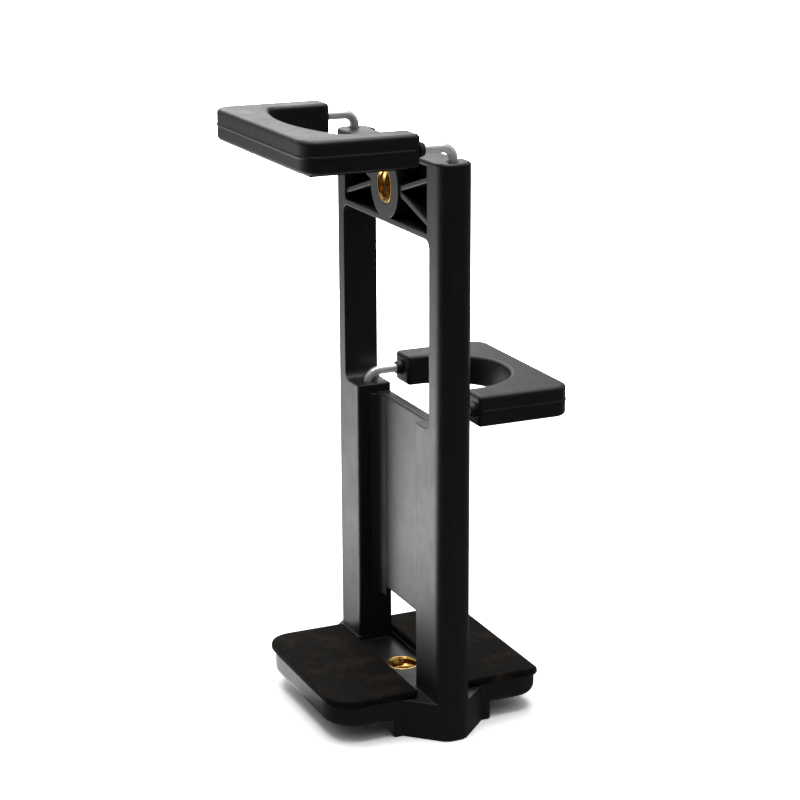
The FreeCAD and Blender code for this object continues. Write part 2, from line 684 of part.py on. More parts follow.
def flipped(corners, toward):
    """The same outline turned half round the Z axis for the tablet side."""
    if toward > 0:
        return corners
    turned = []
    for corner in corners:
        terms = [t[1:] if t.startswith("-") else "-" + t for t in corner[:2]]
        turned.append((*terms, *corner[2:]))
    return turned


for label, toward in (("upper_jaw", -1), ("lower_jaw", 1)):
    blank = new_body(label + "_blank")
    plan = new_sketch(blank, label + "Plan", "XY_Plane", label + "_bottom")
    add_rounded_outline(plan, flipped([
        (f"-{label}_half_width", f"{label}_inner"),
        (f"{label}_half_width", f"{label}_inner"),
        (f"{label}_round_x", f"{label}_round_y", f"{label}_corner_round"),
        (f"-{label}_round_x", f"{label}_round_y", f"{label}_corner_round")], toward))
    pad(blank, plan, f"Sizes.{label}_thickness")

    # fine bead left by the parting line of the mould, round the outer sides
    bead = new_sketch(blank, label + "Bead", "XY_Plane", label + "_bead_level")
    add_rounded_outline(bead, flipped([
        (f"-{label}_bead_half", f"{label}_bead_start"),
        (f"{label}_bead_half", f"{label}_bead_start"),
        (f"{label}_round_x", f"{label}_round_y", f"{label}_bead_round"),
        (f"-{label}_round_x", f"{label}_round_y", f"{label}_bead_round")], toward))
    pad(blank, bead, "Sizes.parting_bead_height")

    # finger gap: straight sides and an arched end
    gap = new_sketch(blank, label + "Gap", "XY_Plane", label + "_top")
    arch_start = label + ("_cut_side_end" if toward < 0 else "_cut_centre")
    arch_centre = "-upper_jaw_cut_centre" if toward < 0 else "lower_jaw_cut_centre"
    add_arched_outline(gap, flipped([
        (f"-{label}_cut_half", "half_depth"),
        (f"-{label}_cut_half", arch_start),
        (f"{label}_cut_half", arch_start),
        (f"{label}_cut_half", "half_depth")], toward), 1, arch_centre)
    pocket(blank, gap, f"Sizes.{label}_thickness")

    round_edges(blank, label + "ArmEnds", "arm_end_round",
                lambda a, b, e: upright(a, b) and near(abs(a.y), size(label + "_inner")))
    if toward < 0:
        round_edges(blank, label + "CutCorners", "upper_jaw_cut_round",
                    lambda a, b, e: upright(a, b) and near(abs(a.y), size("upper_jaw_cut_side_end"))
                    and near(abs(a.x), size("upper_jaw_cut_half")))
    low, high = size(label + "_bottom"), size(label + "_top")
    round_edges(blank, label + "Edges", "jaw_edge_round",
                lambda a, b, e: (near(a.z, low) and near(b.z, low)) or (near(a.z, high) and near(b.z, high)))

    # small sleeve where the wire goes into each arm
    mouth_level = label + "_inner" if toward < 0 else "-" + label + "_inner"
    nubs = new_sketch(blank, label + "Nubs", "XZ_Plane", mouth_level)
    leg = wires[label.replace("jaw", "wire")]
    for side_offset in (leg[0], "-" + leg[0]):
        add_circle(nubs, side_offset, leg[1], "nub_radius")
    nub_pad = pad(blank, nubs, "Sizes.nub_length")
    nub_pad.Reversed = toward < 0
    nub_pad.setExpression("TaperAngle", "-Sizes.nub_taper")
    doc.recompute()
    if toward < 0:
        # thin grip lip under the tablet jaw
        lip = new_sketch(blank, label + "Lip", "XY_Plane", label + "_bottom")
        add_arched_outline(lip, [
            ("-upper_lip_half", "-upper_lip_outer"), ("upper_lip_half", "-upper_lip_outer"),
            ("upper_lip_half", "-upper_lip_inner"), ("upper_lip_cut_half", "-upper_lip_inner"),
            ("upper_lip_cut_half", "-upper_lip_side_end"),
            ("-upper_lip_cut_half", "-upper_lip_side_end"),
            ("-upper_lip_cut_half", "-upper_lip_inner"), ("-upper_lip_half", "-upper_lip_inner")],
            4, "-upper_lip_cut_centre")
        lip_pad = pad(blank, lip, "Sizes.upper_jaw_lip")
        lip_pad.Reversed = True
        doc.recompute()

    tunnel = doc.addObject("Part::Feature", label + "_tunnel")
    tunnel.Shape = tunnels[label.replace("jaw", "wire")]
    jaw = doc.addObject("Part::Cut", label)
    jaw.Label = label
    jaw.Base = blank
    jaw.Tool = tunnel
    doc.recompute()

doc.recompute()

# Every sub-part is checked and written
nodes = ["frame", "crossbar_insert", "base_insert", "front_pad", "rear_pad",
         "upper_jaw", "upper_wire", "lower_jaw", "lower_wire"]
for level in ("upper", "lower"):
    for side_name in ("right", "left"):
        nodes += [f"{level}_spring_{side_name}", f"{level}_stop_{side_name}", f"{level}_plug_{side_name}"]
for item in doc.Objects:
    if "Invalid" in item.State or "Error" in item.State:
        raise RuntimeError(f"{item.Name}: {item.State}")
os.makedirs("parts", exist_ok=True)
for label in nodes:
    shape = doc.getObject(label).Shape
    if shape.isNull() or not shape.isValid() or len(shape.Solids) != 1:
        raise RuntimeError(f"{label}: shape is not one valid solid")
    shape.exportStep(f"parts/{label}.step")
    print(label, round(shape.Volume, 1), shape.BoundBox)
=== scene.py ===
# %% [markdown]
# The object is a tripod adapter: a black moulded frame with a spring jaw for a tablet on one side
# and one for a phone on the other. Its solids come ready made, in metres, so the first step
# brings them in as they are. Everything after that only dresses them.

# %% Bring in the solids
import json
import math

import bmesh
import bpy
from mathutils import Matrix, Vector, noise


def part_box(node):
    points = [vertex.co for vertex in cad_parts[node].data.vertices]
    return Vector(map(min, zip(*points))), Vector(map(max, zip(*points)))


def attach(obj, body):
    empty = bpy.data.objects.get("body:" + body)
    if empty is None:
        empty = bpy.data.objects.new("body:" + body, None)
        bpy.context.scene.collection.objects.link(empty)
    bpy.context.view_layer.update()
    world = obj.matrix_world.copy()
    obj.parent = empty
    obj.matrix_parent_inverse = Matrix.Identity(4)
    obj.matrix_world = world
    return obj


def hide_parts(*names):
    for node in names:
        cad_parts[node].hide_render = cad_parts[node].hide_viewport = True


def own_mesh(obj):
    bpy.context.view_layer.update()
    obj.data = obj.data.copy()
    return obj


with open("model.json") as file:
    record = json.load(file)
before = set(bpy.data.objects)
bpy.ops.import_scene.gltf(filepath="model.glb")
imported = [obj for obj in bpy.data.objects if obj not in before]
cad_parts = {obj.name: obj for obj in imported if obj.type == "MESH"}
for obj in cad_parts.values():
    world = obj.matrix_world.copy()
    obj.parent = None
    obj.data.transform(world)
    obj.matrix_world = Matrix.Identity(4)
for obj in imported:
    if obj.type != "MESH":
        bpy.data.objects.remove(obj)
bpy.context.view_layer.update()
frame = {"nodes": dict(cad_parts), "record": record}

solids = frame["nodes"]

# %% [markdown]
# Colours are written as the hex values a paint chart gives, which are sRGB. Blender's shaders
# work in linear light, so one function turns a hex value into linear numbers. A second small
# function adds a shader or geometry node, sets it and links it, which keeps each recipe short.

# %% Colour and node helpers
MM = 0.001


def colour(code):
    """Linear RGBA of an sRGB hex value such as 1c1d20."""
    channels = [int(code[i:i + 2], 16) / 255 for i in (0, 2, 4)]
    linear = [c / 12.92 if c <= 0.04045 else ((c + 0.055) / 1.055) ** 2.4 for c in channels]
    return (*linear, 1.0)


def add_node(tree, kind, settings=None, inputs=None):
    """New node in a tree; an input is given a value or the socket that feeds it."""
    node = tree.nodes.new(kind)
    for name, value in (settings or {}).items():
        setattr(node, name, value)
    for name, value in (inputs or {}).items():
        if isinstance(value, bpy.types.NodeSocket):
            tree.links.new(value, node.inputs[name])
        else:
            node.inputs[name].default_value = value
    return node


def start_material(name):
    """Empty material with its object coordinates, shader and output ready."""
    material = bpy.data.materials.new(name)
    material.use_nodes = True
    tree = material.node_tree
    tree.nodes.clear()
    place = add_node(tree, "ShaderNodeTexCoord").outputs["Object"]
    shader = add_node(tree, "ShaderNodeBsdfPrincipled")
    add_node(tree, "ShaderNodeOutputMaterial", None, {"Surface": shader.outputs[0]})
    return material, tree, place, shader


print("mould black in linear light:", [round(c, 4) for c in colour("0a0a0b")[:3]])

# %% [markdown]
# The frame is ABS, injection moulded in a steel tool with a fine spark-eroded texture. The eye
# sees a black that is a little cool, a satin sheen that grows at flat angles, and a grain of
# about a fifth of a millimetre. That grain is too fine for the picture, so it is drawn a little
# coarser. Broad, faint patches of roughness stand for handling and flow in the tool. A moulding
# has no knife edges, so the normals are rounded near each edge by less than half a millimetre.
# The plate has the same plastic with a coarser finish, in a lighter tint and with a raised IOR:
# painted light and a painted sheen that make it read brighter. The jaws have a softer finish.

# %% Moulded ABS of the frame and the jaws
GRAIN = 0.32 * MM
FLOW_PATCH = 9 * MM
SCUFF = 2.2 * MM
EDGE_SOFTNESS = 0.45 * MM
SCUFF_SHARE = 0.4
FLOW_LOW = 0.35
FLOW_HIGH = 0.65
GRAIN_STRENGTH = 0.35
ABS_IOR = 1.53
# The plate's raised IOR gives it a painted sheen.
PLATE_PAINTED_SHEEN_IOR = 2.05


def moulded_abs(name, dark, light, rough_low, rough_high, grain_depth):
    material, tree, place, shader = start_material(name)
    patches = add_node(tree, "ShaderNodeTexNoise", None,
                       {"Vector": place, "Scale": 1 / FLOW_PATCH, "Detail": 3.0})
    scuffs = add_node(tree, "ShaderNodeTexNoise", None,
                      {"Vector": place, "Scale": 1 / SCUFF, "Detail": 5.0, "Roughness": 0.65})
    blend = add_node(tree, "ShaderNodeMix", {"data_type": "FLOAT"},
                     {"Factor": SCUFF_SHARE, "A": patches.outputs["Fac"], "B": scuffs.outputs["Fac"]})
    tint = add_node(tree, "ShaderNodeMix", {"data_type": "RGBA"},
                    {"Factor": blend.outputs["Result"], "A": colour(dark), "B": colour(light)})
    tree.links.new(tint.outputs["Result"], shader.inputs["Base Color"])
    rough = add_node(tree, "ShaderNodeMapRange", None,
                     {"Value": blend.outputs["Result"], "From Min": FLOW_LOW, "From Max": FLOW_HIGH,
                      "To Min": rough_low, "To Max": rough_high})
    tree.links.new(rough.outputs["Result"], shader.inputs["Roughness"])
    grain = add_node(tree, "ShaderNodeTexVoronoi", {"feature": "SMOOTH_F1"},
                     {"Vector": place, "Scale": 1 / GRAIN, "Smoothness": 0.8})
    edges = add_node(tree, "ShaderNodeBevel", {"samples": 6}, {"Radius": EDGE_SOFTNESS})
    bump = add_node(tree, "ShaderNodeBump", None,
                    {"Height": grain.outputs["Distance"], "Distance": grain_depth,
                     "Strength": GRAIN_STRENGTH, "Normal": edges.outputs["Normal"]})
    tree.links.new(bump.outputs["Normal"], shader.inputs["Normal"])
    shader.inputs["IOR"].default_value = ABS_IOR
    return material


frame_abs = moulded_abs("moulded_black_abs", "0a0a0b", "101011", 0.38, 0.48, 0.02 * MM)
# Painted light: the plate's tint is lighter than the frame's, so the same plastic reads as lit.
plate_painted_light = moulded_abs("plate_plastic_painted_light", "121213", "1a1a1b", 0.48, 0.56, 0.03 * MM)
plate_painted_light.node_tree.nodes["Principled BSDF"].inputs["IOR"].default_value = PLATE_PAINTED_SHEEN_IOR
jaw_abs = moulded_abs("overmoulded_jaw_abs", "08080a", "0f0f10", 0.40, 0.52, 0.02 * MM)
print("plastic finishes:", frame_abs.name, plate_painted_light.name, jaw_abs.name)

# %% [markdown]
# The bent rods are drawn steel wire, bright plated after bending. Plating hides most of the
# drawing marks, and the eye gets a pale, slightly milky shine, so the rod is metal only in part.
# The inserts are turned brass, golden with fine tool marks. The springs inside are drawn steel.

# %% Plated rod, insert and spring steel
MARKS_LOW = 0.3
MARKS_HIGH = 0.7
MARK_STRENGTH = 0.2
MARK_DEPTH = 0.01 * MM
PLATING_METALLIC = 0.62


def metal(name, dark, light, rough_low, rough_high, mark, stretch):
    material, tree, place, shader = start_material(name)
    laid = add_node(tree, "ShaderNodeMapping", None, {"Vector": place, "Scale": stretch})
    marks = add_node(tree, "ShaderNodeTexNoise", None,
                     {"Vector": laid.outputs["Vector"], "Scale": 1 / mark, "Detail": 4.0})
    tint = add_node(tree, "ShaderNodeMix", {"data_type": "RGBA"},
                    {"Factor": marks.outputs["Fac"], "A": colour(dark), "B": colour(light)})
    tree.links.new(tint.outputs["Result"], shader.inputs["Base Color"])
    rough = add_node(tree, "ShaderNodeMapRange", None,
                     {"Value": marks.outputs["Fac"], "From Min": MARKS_LOW, "From Max": MARKS_HIGH,
                      "To Min": rough_low, "To Max": rough_high})
    tree.links.new(rough.outputs["Result"], shader.inputs["Roughness"])
    bump = add_node(tree, "ShaderNodeBump", None,
                    {"Height": marks.outputs["Fac"], "Distance": MARK_DEPTH, "Strength": MARK_STRENGTH})
    tree.links.new(bump.outputs["Normal"], shader.inputs["Normal"])
    shader.inputs["Metallic"].default_value = 1.0
    return material


plated_rod = metal("bright_plated_rod", "dadde0", "f6f7f8", 0.16, 0.28, 1.2 * MM, (1, 1, 0.4))
turned_brass = metal("turned_brass_insert", "b8893f", "d9b36c", 0.18, 0.30, 0.5 * MM, (1, 1, 1))
spring_steel = metal("drawn_spring_steel", "84868a", "a8aaad", 0.25, 0.4, 0.6 * MM, (1, 1, 0.5))
plated_rod.node_tree.nodes["Principled BSDF"].inputs["Metallic"].default_value = PLATING_METALLIC
print("metals:", plated_rod.name, turned_brass.name, spring_steel.name)

# %% [markdown]
# The pads are closed-cell EVA foam, cut from sheet and glued down. It is matt and slightly brown
# beside the plastic. Cells of a fraction of a millimetre show as a soft speckle, and faint brown
# patches of several millimetres lie over it.

# %% Foam
CELL = 0.55 * MM
CELL_DEPTH = 0.05 * MM
MOTTLE = 7 * MM
MOTTLE_START = 0.44
MOTTLE_FULL = 0.68
MOTTLE_SHARE = 0.72
FOAM_SPECULAR = 0.1

foam, foam_tree, foam_place, foam_shader = start_material("closed_cell_eva_foam")
cells = add_node(foam_tree, "ShaderNodeTexVoronoi", None, {"Vector": foam_place, "Scale": 1 / CELL})
cloud = add_node(foam_tree, "ShaderNodeTexNoise", None,
                 {"Vector": foam_place, "Scale": 1 / MOTTLE, "Detail": 6.0, "Roughness": 0.62})
mottle_patches = add_node(foam_tree, "ShaderNodeMapRange", {"interpolation_type": "SMOOTHSTEP"},
                  {"Value": cloud.outputs["Fac"], "From Min": MOTTLE_START, "From Max": MOTTLE_FULL})
speckle = add_node(foam_tree, "ShaderNodeMix", {"data_type": "FLOAT"},
                   {"Factor": MOTTLE_SHARE, "A": cells.outputs["Distance"],
                    "B": mottle_patches.outputs["Result"]})
foam_tint = add_node(foam_tree, "ShaderNodeMix", {"data_type": "RGBA"},
                     {"Factor": speckle.outputs["Result"], "A": colour("030302"), "B": colour("241e18")})
foam_tree.links.new(foam_tint.outputs["Result"], foam_shader.inputs["Base Color"])
foam_rough = add_node(foam_tree, "ShaderNodeMapRange", None,
                      {"Value": cloud.outputs["Fac"], "To Min": 0.72, "To Max": 0.95})
foam_tree.links.new(foam_rough.outputs["Result"], foam_shader.inputs["Roughness"])
foam_bump = add_node(foam_tree, "ShaderNodeBump", None,
                     {"Height": cells.outputs["Distance"], "Distance": CELL_DEPTH, "Strength": 0.5})
foam_tree.links.new(foam_bump.outputs["Normal"], foam_shader.inputs["Normal"])
foam_shader.inputs["Specular IOR Level"].default_value = FOAM_SPECULAR
print("foam finish:", foam.name)

# %% [markdown]
# Each solid keeps its mesh and only changes its finish. A table from the record's slot names to
# the finishes made above does that in one loop.

# %% Dress the solids
finish_of_slot = {
    "moulded_plastic": frame_abs,
    "jaw_plastic": jaw_abs,
    "bright_wire": plated_rod,
    "insert_metal": turned_brass,
    "foam": foam,
    "spring_steel": spring_steel,
}
for part in frame["record"]["subparts"]:
    mesh = solids[part["node"]].data
    mesh.materials.clear()
    mesh.materials.append(finish_of_slot[part["material_slot"]])

# %% [markdown]
# A spring stands between the washer on its wire's end and the top of its bore. When a jaw is
# pulled up, the washer rises and the spring gets shorter. Each one here is a copy of its solid at
# full length, in the solid's place. A solid's mesh is loose triangles, so the copy is merged into
# one skin.

# %% Merged copies of the springs
MERGE_DISTANCE = 0.001 * MM
SPRINGS = [
    {"level": "upper", "leg": 26.0 * MM, "top": 128.4 * MM, "travel": 80 * MM},
    {"level": "lower", "leg": 19.5 * MM, "top": 69.8 * MM, "travel": 35 * MM},
]


def lay_out(name, shell):
    """Object that takes its mesh from a finished bmesh."""
    mesh = bpy.data.meshes.new(name)
    shell.to_mesh(mesh)
    shell.free()
    piece = bpy.data.objects.new(name, mesh)
    bpy.context.scene.collection.objects.link(piece)
    return piece


def copy_merged(name, mesh):
    """Object with a copy of a solid's mesh in which touching triangles share their corners."""
    shell = bmesh.new()
    shell.from_mesh(mesh)
    bmesh.ops.remove_doubles(shell, verts=shell.verts, dist=MERGE_DISTANCE)
    piece = lay_out(name, shell)
    for finish in mesh.materials:
        piece.data.materials.append(finish)
    return piece


for spring in SPRINGS:
    level_name, leg_offset, bore_top, travel = spring.values()
    for side_name, side in (("right", 1), ("left", -1)):
        node_name = f"{level_name}_spring_{side_name}"
        coil = copy_merged(f"{level_name}_coil_{side_name}", solids[node_name].data)
        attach(coil, "frame")
        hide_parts(node_name)
        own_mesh(coil)

# %% [markdown]
# The plate between the posts is a little thicker than its solid, so a thin moulded face is laid
# over it, between the inner walls of the posts. Its upper front edge is rounded, which draws the
# dark line that the real plate has along its top, and its lower edge follows the arch. Two
# concave strips round the corners between this face and the posts, where the eye sees a narrow
# dark band beside the bright plate.

# %% Face of the plate
FACE_STAND = 0.6 * MM
FACE_SINK = 0.1 * MM
PLATE_BACK = 4.1 * MM
PLATE_THICKNESS = 1.8 * MM
PLATE_HALF_WIDTH = 15.7 * MM
PLATE_BOTTOM = 21.8 * MM
PLATE_TOP = 69.4 * MM
ARCH_ROUND = 2.5 * MM
FACE_EDGE = 0.55 * MM
FACE_FRONT = PLATE_BACK - PLATE_THICKNESS - FACE_STAND
CORNER_ROUND = 2.6 * MM
CORNER_BOTTOM = 19.4 * MM
CORNER_TOP_GAP = 0.2 * MM
ARC_STEPS = 8
SHARP_ANGLE = math.radians(30)


def raise_face(shell, ring, rise):
    """Solid between a flat ring of points and the same ring moved by rise."""
    face = shell.faces.new(ring)
    made = bmesh.ops.extrude_face_region(shell, geom=[face])
    moved = [item for item in made["geom"] if isinstance(item, bmesh.types.BMVert)]
    bmesh.ops.translate(shell, verts=moved, vec=rise)


def soften(mesh, finish):
    """Smooth shading with sharp edges kept, and one finish."""
    mesh.shade_smooth()
    mesh.set_sharp_from_angle(angle=SHARP_ANGLE)
    mesh.materials.append(finish)


def quarter(radius):
    """Distances from a corner along its two sides, for the points of a quarter circle."""
    turns = [math.radians(90 * step / ARC_STEPS) for step in range(ARC_STEPS + 1)]
    return [(radius * (1 - math.cos(turn)), radius * (1 - math.sin(turn))) for turn in turns]


def make_plate_face(name):
    """Slab with the plate's outline, rounded at its lower corners and along its top front edge."""
    outline = [(-PLATE_HALF_WIDTH, PLATE_TOP), (PLATE_HALF_WIDTH, PLATE_TOP)]
    for side in (1, -1):
        arc = [(side * (PLATE_HALF_WIDTH - inward), PLATE_BOTTOM - down)
               for inward, down in quarter(ARCH_ROUND)]
        outline += arc if side == 1 else arc[::-1]
    shell = bmesh.new()
    ring = [shell.verts.new((x, FACE_FRONT, z)) for x, z in outline]
    raise_face(shell, ring, (0, FACE_STAND + FACE_SINK, 0))
    bmesh.ops.recalc_face_normals(shell, faces=shell.faces)

    def on_top_front(vertex):
        return abs(vertex.co.z - PLATE_TOP) < 1e-6 and abs(vertex.co.y - FACE_FRONT) < 1e-6

    top_edge = [edge for edge in shell.edges if all(on_top_front(vertex) for vertex in edge.verts)]
    bmesh.ops.bevel(shell, geom=top_edge, offset=FACE_EDGE, segments=5, profile=0.5, affect="EDGES")
    piece = lay_out(name, shell)
    soften(piece.data, plate_painted_light)
    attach(piece, "frame")
    print(name, "faces:", len(piece.data.polygons))
    return piece


def make_corner_strips(name):
    """Two concave strips that round the corners between the plate's face and the posts."""
    shell = bmesh.new()
    for side in (1, -1):
        wall = side * PLATE_HALF_WIDTH
        profile = [(wall + side * FACE_SINK, FACE_FRONT + FACE_SINK),
                   (wall + side * FACE_SINK, FACE_FRONT - CORNER_ROUND)]
        profile += [(wall - side * inward, FACE_FRONT - forward)
                    for inward, forward in quarter(CORNER_ROUND)]
        profile.append((wall - side * CORNER_ROUND, FACE_FRONT + FACE_SINK))
        ring = [shell.verts.new((x, y, CORNER_BOTTOM)) for x, y in profile]
        raise_face(shell, ring, (0, 0, PLATE_TOP - CORNER_TOP_GAP - CORNER_BOTTOM))
    bmesh.ops.recalc_face_normals(shell, faces=shell.faces)
    piece = lay_out(name, shell)
    soften(piece.data, frame_abs)
    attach(piece, "frame")
    print(name, "faces:", len(piece.data.polygons))
    return piece


make_plate_face("plate_face")
make_corner_strips("plate_corners")

# %% [markdown]
# A foam pad starts from the outline of its solid with rounded corners. It is rebuilt as an even
# skin of small faces, so that its top can crown by a tenth of a millimetre and take the slight
# waviness of cut foam. The underside stays flat on the wing.

# %% Foam pads
SKIN_STEP = 0.4 * MM
CROWN = 0.12 * MM
WAVE = 0.05 * MM
WAVE_LENGTH = 6 * MM
PAD_EDGE = 0.45 * MM
PAD_FALL = 4


def rounded_outline(low, high, corner_rounds, steps=10):
    """Points of a rectangle with its own radius at each corner, anticlockwise from low x, low y."""
    corners = [(low.x, low.y, 180), (high.x, low.y, 270), (high.x, high.y, 0), (low.x, high.y, 90)]
    points = []
    for (x, y, start), radius in zip(corners, corner_rounds):
        centre_x = x + radius if start in (180, 90) else x - radius
        centre_y = y + radius if start in (180, 270) else y - radius
        for step in range(steps + 1):
            turn = math.radians(start + 90 * step / steps)
            points.append((centre_x + radius * math.cos(turn), centre_y + radius * math.sin(turn)))
    return points


def make_pad(name, node, corner_rounds):
    low, high = (Vector(corner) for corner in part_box(node))
    shell = bmesh.new()
    floor_ring = [shell.verts.new((x, y, low.z)) for x, y in rounded_outline(low, high, corner_rounds)]
    raise_face(shell, floor_ring[::-1], (0, 0, high.z - low.z - CROWN))
    bmesh.ops.recalc_face_normals(shell, faces=shell.faces)
    pad = lay_out(name, shell)
    edge = pad.modifiers.new("Soft edge", "BEVEL")
    edge.width = PAD_EDGE
    edge.segments = 3
    edge.limit_method = "ANGLE"
    edge.angle_limit = math.radians(60)
    skin = pad.modifiers.new("Even skin", "REMESH")
    skin.mode = "VOXEL"
    skin.voxel_size = SKIN_STEP
    ready = pad.evaluated_get(bpy.context.evaluated_depsgraph_get())
    even = bpy.data.meshes.new_from_object(ready)
    pad.modifiers.clear()
    pad.data = even
    middle = (low + high) / 2
    half = (high - low) / 2
    thickness = high.z - low.z
    for vertex in even.vertices:
        height = max(0.0, (vertex.co.z - low.z) / thickness)
        across = abs(vertex.co.x - middle.x) / half.x
        along = abs(vertex.co.y - middle.y) / half.y
        crown = CROWN * max(0.0, 1 - across ** PAD_FALL) * max(0.0, 1 - along ** PAD_FALL)
        wave = WAVE * noise.noise(Vector((vertex.co.x, vertex.co.y, 0)) / WAVE_LENGTH)
        vertex.co.z += height * (crown + wave * 0.5)
        vertex.co.z = max(low.z, min(high.z, vertex.co.z))
    even.shade_smooth()
    even.materials.clear()
    even.materials.append(foam)
    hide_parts(node)
    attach(pad, "frame")
    print(name, "faces:", len(even.polygons))
    return pad


FRONT_ROUND = 6.0 * MM
REAR_ROUND = 1.2 * MM
CUT_ROUND = 0.3 * MM
make_pad("foam_front", "front_pad", (FRONT_ROUND, FRONT_ROUND, CUT_ROUND, CUT_ROUND))
make_pad("foam_rear", "rear_pad", (CUT_ROUND, CUT_ROUND, REAR_ROUND, REAR_ROUND))

# %% [markdown]
# A thread is one ridge that climbs a spiral, so it suits Geometry Nodes: a spiral curve carries a
# small square ridge along it, and the result joins the sleeve. The tree has named inputs for the
# thread's pitch, start, length and radii. A quarter inch tripod thread climbs 1.27 mm a turn.

# %% Threaded inserts
PITCH = 1.27 * MM
THREAD_ROOT = 3.15 * MM
THREAD_CREST = 2.62 * MM
SLEEVE_OUTER = 4.0 * MM
MOUTH_BEVEL = 0.35 * MM
RIM_BEVEL = 0.15 * MM
THREAD_SINK = 0.04 * MM
THREAD_MARGIN = 0.9 * MM
RIDGE_STEPS = 48


def thread_tree():
    tree = bpy.data.node_groups.new("Spiral thread", "GeometryNodeTree")
    face = tree.interface
    face.new_socket("Geometry", in_out="INPUT", socket_type="NodeSocketGeometry")
    for label in ("Pitch", "Start", "Length", "Root radius", "Crest radius"):
        face.new_socket(label, in_out="INPUT", socket_type="NodeSocketFloat")
    face.new_socket("Finish", in_out="INPUT", socket_type="NodeSocketMaterial")
    face.new_socket("Geometry", in_out="OUTPUT", socket_type="NodeSocketGeometry")
    given = add_node(tree, "NodeGroupInput").outputs
    turns = add_node(tree, "ShaderNodeMath", {"operation": "DIVIDE"},
                     {0: given["Length"], 1: given["Pitch"]})
    spiral = add_node(tree, "GeometryNodeCurveSpiral", None,
                      {"Resolution": RIDGE_STEPS, "Rotations": turns.outputs[0],
                       "Start Radius": given["Root radius"], "End Radius": given["Root radius"],
                       "Height": given["Length"]})
    depth = add_node(tree, "ShaderNodeMath", {"operation": "SUBTRACT"},
                     {0: given["Root radius"], 1: given["Crest radius"]})
    ridge = add_node(tree, "GeometryNodeCurvePrimitiveCircle", {"mode": "RADIUS"},
                     {"Resolution": 4, "Radius": depth.outputs[0]})
    swept = add_node(tree, "GeometryNodeCurveToMesh", None,
                     {"Curve": spiral.outputs["Curve"], "Profile Curve": ridge.outputs["Curve"],
                      "Fill Caps": True})
    shift = add_node(tree, "ShaderNodeCombineXYZ", None, {"Z": given["Start"]})
    raised = add_node(tree, "GeometryNodeTransform", None,
                      {"Geometry": swept.outputs["Mesh"], "Translation": shift.outputs["Vector"]})
    joined = add_node(tree, "GeometryNodeJoinGeometry")
    tree.links.new(given["Geometry"], joined.inputs["Geometry"])
    tree.links.new(raised.outputs["Geometry"], joined.inputs["Geometry"])
    real = add_node(tree, "GeometryNodeRealizeInstances", None, {"Geometry": joined.outputs["Geometry"]})
    finished = add_node(tree, "GeometryNodeSetMaterial", None,
                        {"Geometry": real.outputs["Geometry"], "Material": given["Finish"]})
    add_node(tree, "NodeGroupOutput", None, {"Geometry": finished.outputs["Geometry"]})
    return tree


spiral_thread = thread_tree()


def lathe(profile, steps=64):
    """Closed ring turned about Z from a closed profile of radius and height pairs."""
    shell = bmesh.new()
    rings = []
    for step in range(steps):
        turn = 2 * math.pi * step / steps
        rings.append([shell.verts.new((r * math.cos(turn), r * math.sin(turn), z)) for r, z in profile])
    for step in range(steps):
        here, there = rings[step], rings[(step + 1) % steps]
        for k in range(len(profile)):
            after = (k + 1) % len(profile)
            shell.faces.new((here[k], there[k], there[after], here[after]))
    bmesh.ops.recalc_face_normals(shell, faces=shell.faces)
    return shell


def make_insert(name, node, axis):
    """Sleeve with its thread in the place of a plain insert; axis is 1 for Y and 2 for Z."""
    low, high = (Vector(corner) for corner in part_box(node))
    length = (high - low)[axis]
    shell = lathe([
        (THREAD_ROOT, MOUTH_BEVEL), (THREAD_ROOT + MOUTH_BEVEL, 0), (SLEEVE_OUTER - RIM_BEVEL, 0),
        (SLEEVE_OUTER, RIM_BEVEL), (SLEEVE_OUTER, length - RIM_BEVEL), (SLEEVE_OUTER - RIM_BEVEL, length),
        (THREAD_ROOT + MOUTH_BEVEL, length), (THREAD_ROOT, length - MOUTH_BEVEL)])
    insert = lay_out(name, shell)
    bpy.context.view_layer.update()
    thread = insert.modifiers.new("Thread", "NODES")
    thread.node_group = spiral_thread
    values = {"Pitch": PITCH, "Start": THREAD_MARGIN, "Length": length - 2 * THREAD_MARGIN,
              "Root radius": THREAD_ROOT + THREAD_SINK, "Crest radius": THREAD_CREST,
              "Finish": turned_brass}
    for item in spiral_thread.interface.items_tree:
        if item.in_out == "INPUT" and item.name in values:
            thread[item.identifier] = values[item.name]
    ready = insert.evaluated_get(bpy.context.evaluated_depsgraph_get())
    whole = bpy.data.meshes.new_from_object(ready)
    insert.modifiers.clear()
    insert.data = whole
    lean = Matrix.Rotation(math.radians(-90), 4, "X") if axis == 1 else Matrix.Identity(4)
    start = (low + high) / 2
    start[axis] = low[axis]
    whole.transform(Matrix.Translation(start) @ lean)
    whole.shade_smooth()
    whole.set_sharp_from_angle(angle=SHARP_ANGLE)
    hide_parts(node)
    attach(insert, "frame")
    print(name, "length mm:", round(length / MM, 2), "faces:", len(whole.polygons))
    return insert


make_insert("threaded_sleeve_base", "base_insert", 2)
make_insert("threaded_sleeve_crossbar", "crossbar_insert", 1)

# %% [markdown]
# The part stands on white paper. To the camera the paper is white and keeps the part's shadow, and
# far away, where little light falls, it is seen brighter so that it runs into the white backdrop.
# In a gloss it is seen as it was lit for the photograph: brightest in front of the part towards
# the left, weaker behind it, and in shade on the side of the camera, fading within half a metre.
# That gives the flat black faces their grey sheen low down and leaves the near side almost black.

